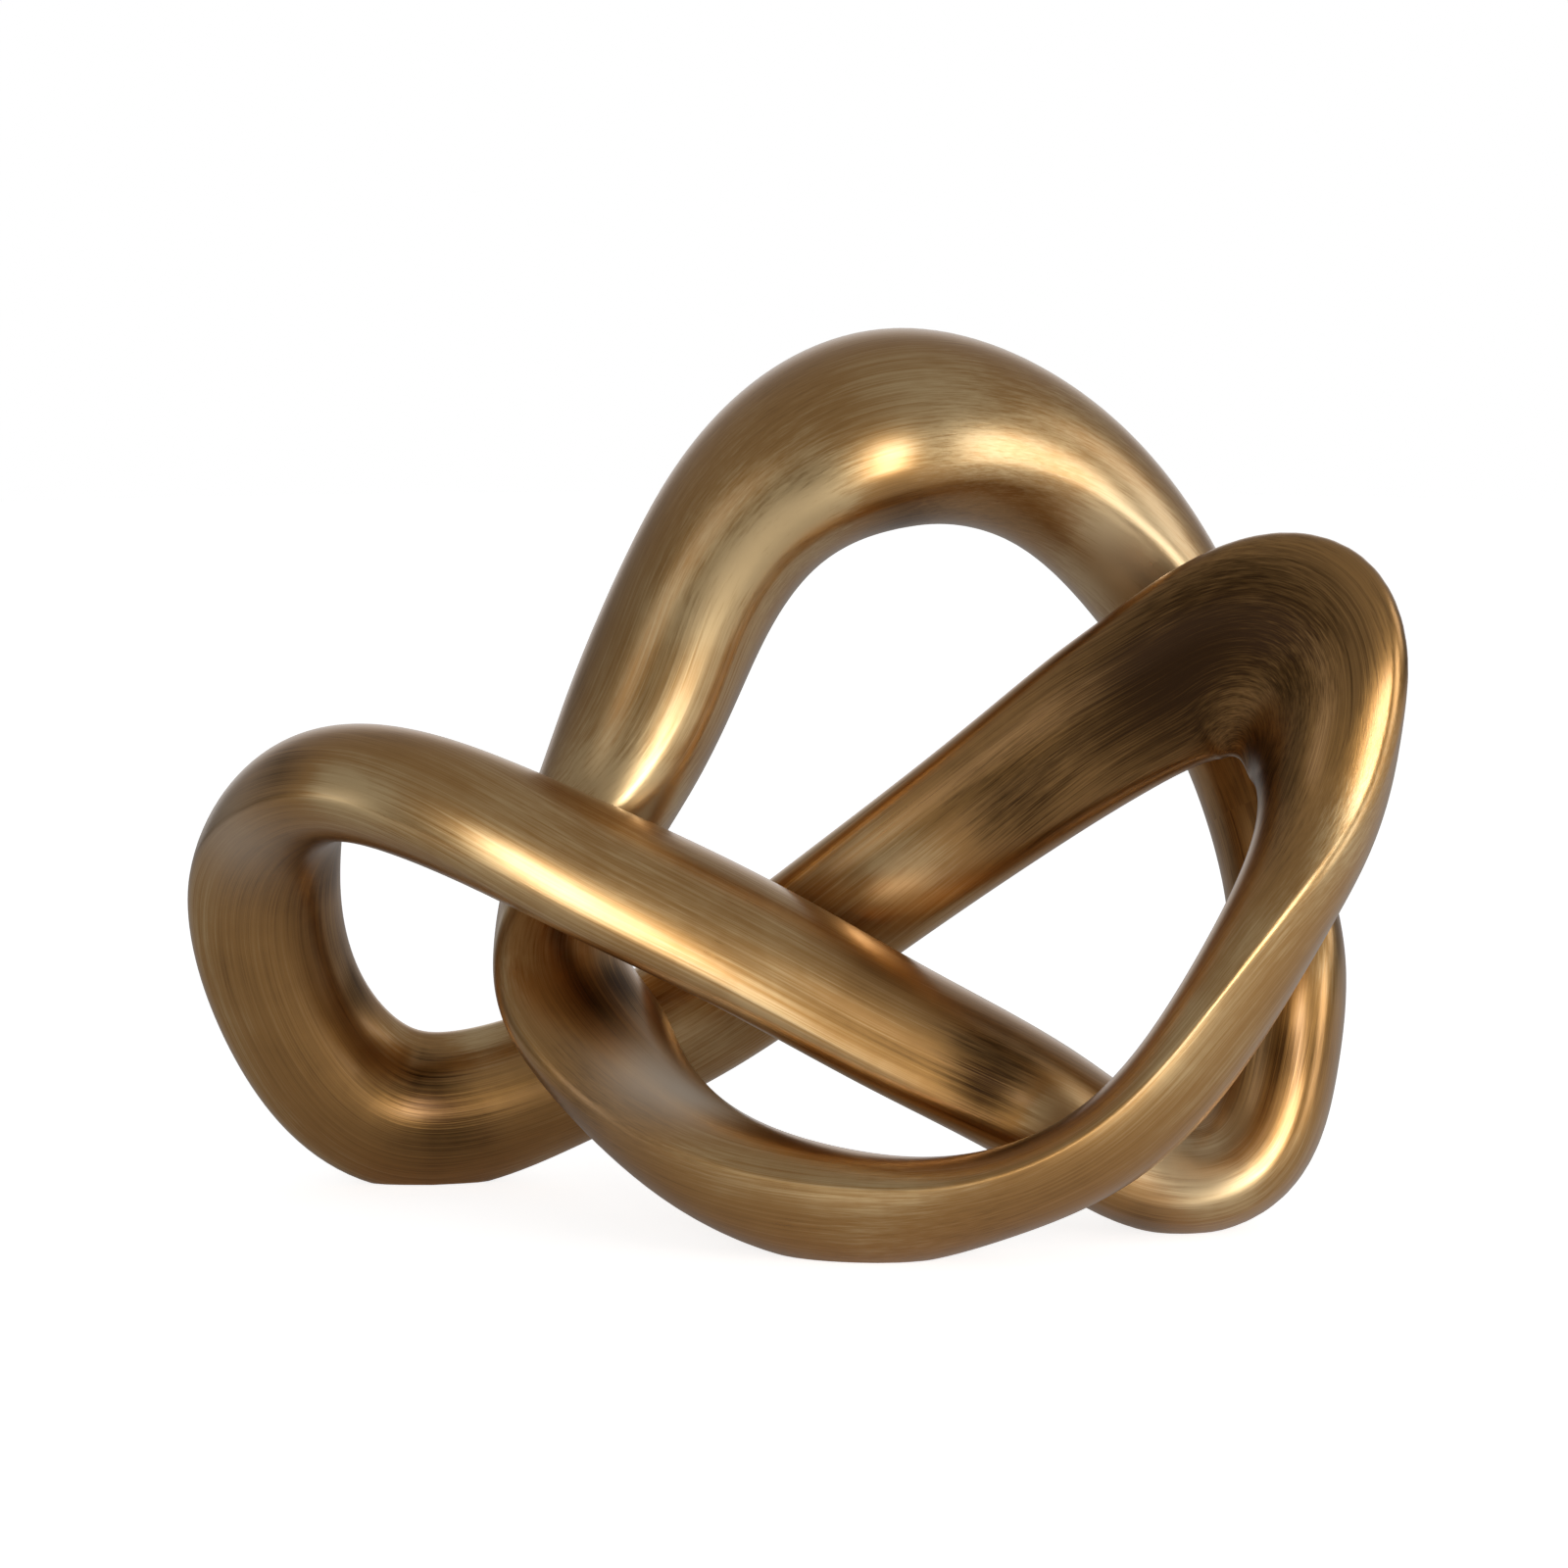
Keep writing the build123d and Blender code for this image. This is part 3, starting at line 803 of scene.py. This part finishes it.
@dataclass(frozen=True)
class Studio:
    """Camera, lamps, floor and surroundings."""

    aim: tuple[float, float, float] = (0.6, 9.0, 100.5)     # millimetres
    elevation: float = 9.0          # degrees of the camera above the table
    distance: float = 1500.0        # millimetres from the camera to its aim
    lens: float = 150.0             # millimetres, and so is the sensor's width
    sensor: float = 36.0
    far: float = 50.0               # metres that the camera sees
    floor_radius: float = 1.5       # metres
    floor_drop: float = 0.0002      # metres below the feet
    floor_sides: int = 96
    floor_grey: float = 0.7         # with the glow on top, white to the camera
    floor_glow: float = 0.8
    floor_dim: float = 0.03         # glow of the floor's shaded side in the metal
    floor_lit: float = 0.24         # what its lit side adds
    lit_right: float = 0.64         # direction of the lit side
    lit_front: float = 0.77
    lit_span: Span = (-0.15, 0.35)  # metres that way from the middle
    wall: float = 0.8               # brightness of the back wall in the metal
    wall_span: Span = (0.75, 1.0)   # how squarely a ray has to go to the back to meet it
    room: float = 0.05              # brightness of the dim room
    room_right: float = 0.04        # what its right side adds
    right_span: Span = (-0.6, 0.8)
    room_top: float = 0.26          # what its ceiling adds
    top_span: Span = (-0.1, 0.4)
    boxes: tuple[SoftBox, ...] = (
        SoftBox("front_box", 2.0, 7.0, 2.0, 0.42, 0.90, 10.5),
        SoftBox("side_box", 50.0, 10.0, 1.6, 0.70, 0.80, 3.0),
        SoftBox("right_box", 90.0, 25.0, 1.4, 0.60, 0.60, 1.3),
        SoftBox("left_box", -58.0, 5.0, 1.6, 0.50, 0.80, 0.9),
    )

    def build(self) -> None:
        """Sets up the whole studio."""
        aim = Vector(self.aim) * MM
        self.add_camera(aim)
        for box in self.boxes:
            box.place(aim)
        self.add_floor()
        self.add_surroundings()

    def add_camera(self, aim: Vector) -> None:
        """Adds the camera at the photograph's angle."""
        e = math.radians(self.elevation)
        back = Vector((0, -math.cos(e), math.sin(e)))
        bpy.ops.object.camera_add(location=aim + back * self.distance * MM)
        camera = bpy.context.active_object
        camera.rotation_euler = (-back).to_track_quat("-Z", "Y").to_euler()
        camera.data.lens = self.lens
        camera.data.sensor_width = self.sensor
        camera.data.clip_end = self.far
        bpy.context.scene.camera = camera

    def add_floor(self) -> None:
        """Adds a plain pale floor, white to the camera and darker in the metal towards its shaded side."""
        bpy.ops.mesh.primitive_circle_add(
            vertices=self.floor_sides,
            radius=self.floor_radius,
            fill_type="NGON",
            location=(0, 0, -self.floor_drop),
        )
        floor = bpy.context.active_object
        floor.name = "floor"
        material = bpy.data.materials.new("floor_white")
        tree = FinishTree(material)
        place = tree.node("ShaderNodeTexCoord", {}, {}, "Object")
        sideways = tree.node("ShaderNodeSeparateXYZ", {}, {0: place}, "X")
        forwards = tree.node("ShaderNodeSeparateXYZ", {}, {0: place}, "Y") * -1.0
        lit = (sideways * self.lit_right + forwards * self.lit_front).smooth(*self.lit_span)
        seen = tree.path("Is Camera Ray")
        mirrored = tree.path("Is Glossy Ray") + tree.path("Is Transmission Ray")
        glow = seen * self.floor_glow + mirrored * (self.floor_dim + self.floor_lit * lit)
        inputs = {
            "Base Color": (self.floor_grey, self.floor_grey, self.floor_grey, 1),
            "Roughness": 0.9,
            "Emission Color": tree.node("ShaderNodeCombineXYZ", {}, {0: glow, 1: glow, 2: glow}),
            "Emission Strength": 1.0,
        }
        tree.finish("ShaderNodeOutputMaterial", tree.node("ShaderNodeBsdfPrincipled", {}, inputs))
        floor.data.materials.append(material)

    def add_surroundings(self) -> None:
        """White surroundings for the camera, and a dim room with a bright back wall for the metal."""
        world = bpy.data.worlds.new("surroundings")
        bpy.context.scene.world = world
        tree = FinishTree(world)
        direction = tree.node("ShaderNodeTexCoord", {}, {}, "Generated")
        sideways, backwards, upwards = (
            tree.node("ShaderNodeSeparateXYZ", {}, {0: direction}, axis) for axis in ("X", "Y", "Z")
        )
        mirrored = tree.path("Is Glossy Ray") + tree.path("Is Transmission Ray")
        back_wall = mirrored * backwards.smooth(*self.wall_span) * self.wall
        white = (tree.path("Is Camera Ray") + back_wall).clamped()
        right = sideways.smooth(*self.right_span) * self.room_right
        ceiling = upwards.smooth(*self.top_span) * self.room_top
        room = self.room + right + ceiling
        strength = room + (1.0 - room) * white
        shader = tree.node("ShaderNodeBackground", {}, {"Color": (1, 1, 1, 1), "Strength": strength})
        tree.finish("ShaderNodeOutputWorld", shader)


@dataclass
class Sculpture:
    """The whole ornament: castings and welds of the band, with the hidden sleeves of the model."""

    path: BandPath

    def lengths(self) -> list[BandLength]:
        """Castings and welds of the band, in the order of the round."""
        places = list(JOINTS.values())
        ends = places[1:] + [places[0] + self.path.count]
        made = []
        for (name, foot), start, end in zip(CASTINGS.items(), places, ends):
            first = self.path.beside(start, WELD_WIDTH / 2)
            last = self.path.beside(end, -WELD_WIDTH / 2)
            made.append(BandLength(f"{name}_casting", name, Slot.BAND, first, last, foot))
        for name, place in JOINTS.items():
            first = self.path.beside(place, -WELD_WIDTH / 2)
            last = self.path.beside(place, WELD_WIDTH / 2)
            made.append(BandLength(f"{name}_bead", f"{name}_weld", Slot.WELD, first, last))
        return made

    def build(self) -> None:
        """Builds and dresses every piece."""
        finish = AntiqueBrass().make()
        for length in self.lengths():
            length.dress(length.build(self.path), finish)
        # The sleeves keep the model's own solids, out of sight inside the castings
        for name in JOINTS:
            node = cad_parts[f"{name}_sleeve"]
            node.data.materials.clear()
            node.data.materials.append(finish)


def main() -> None:
    """Builds the sculpture and its studio."""
    logging.basicConfig(level=logging.INFO, format="%(name)s: %(message)s")
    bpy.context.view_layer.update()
    bpy.context.scene.view_settings.view_transform = "Standard"
    Sculpture(BandPath(STATIONS, ROLL_PER_LAP)).build()
    Studio().build()


if __name__ == "__main__":
    main()
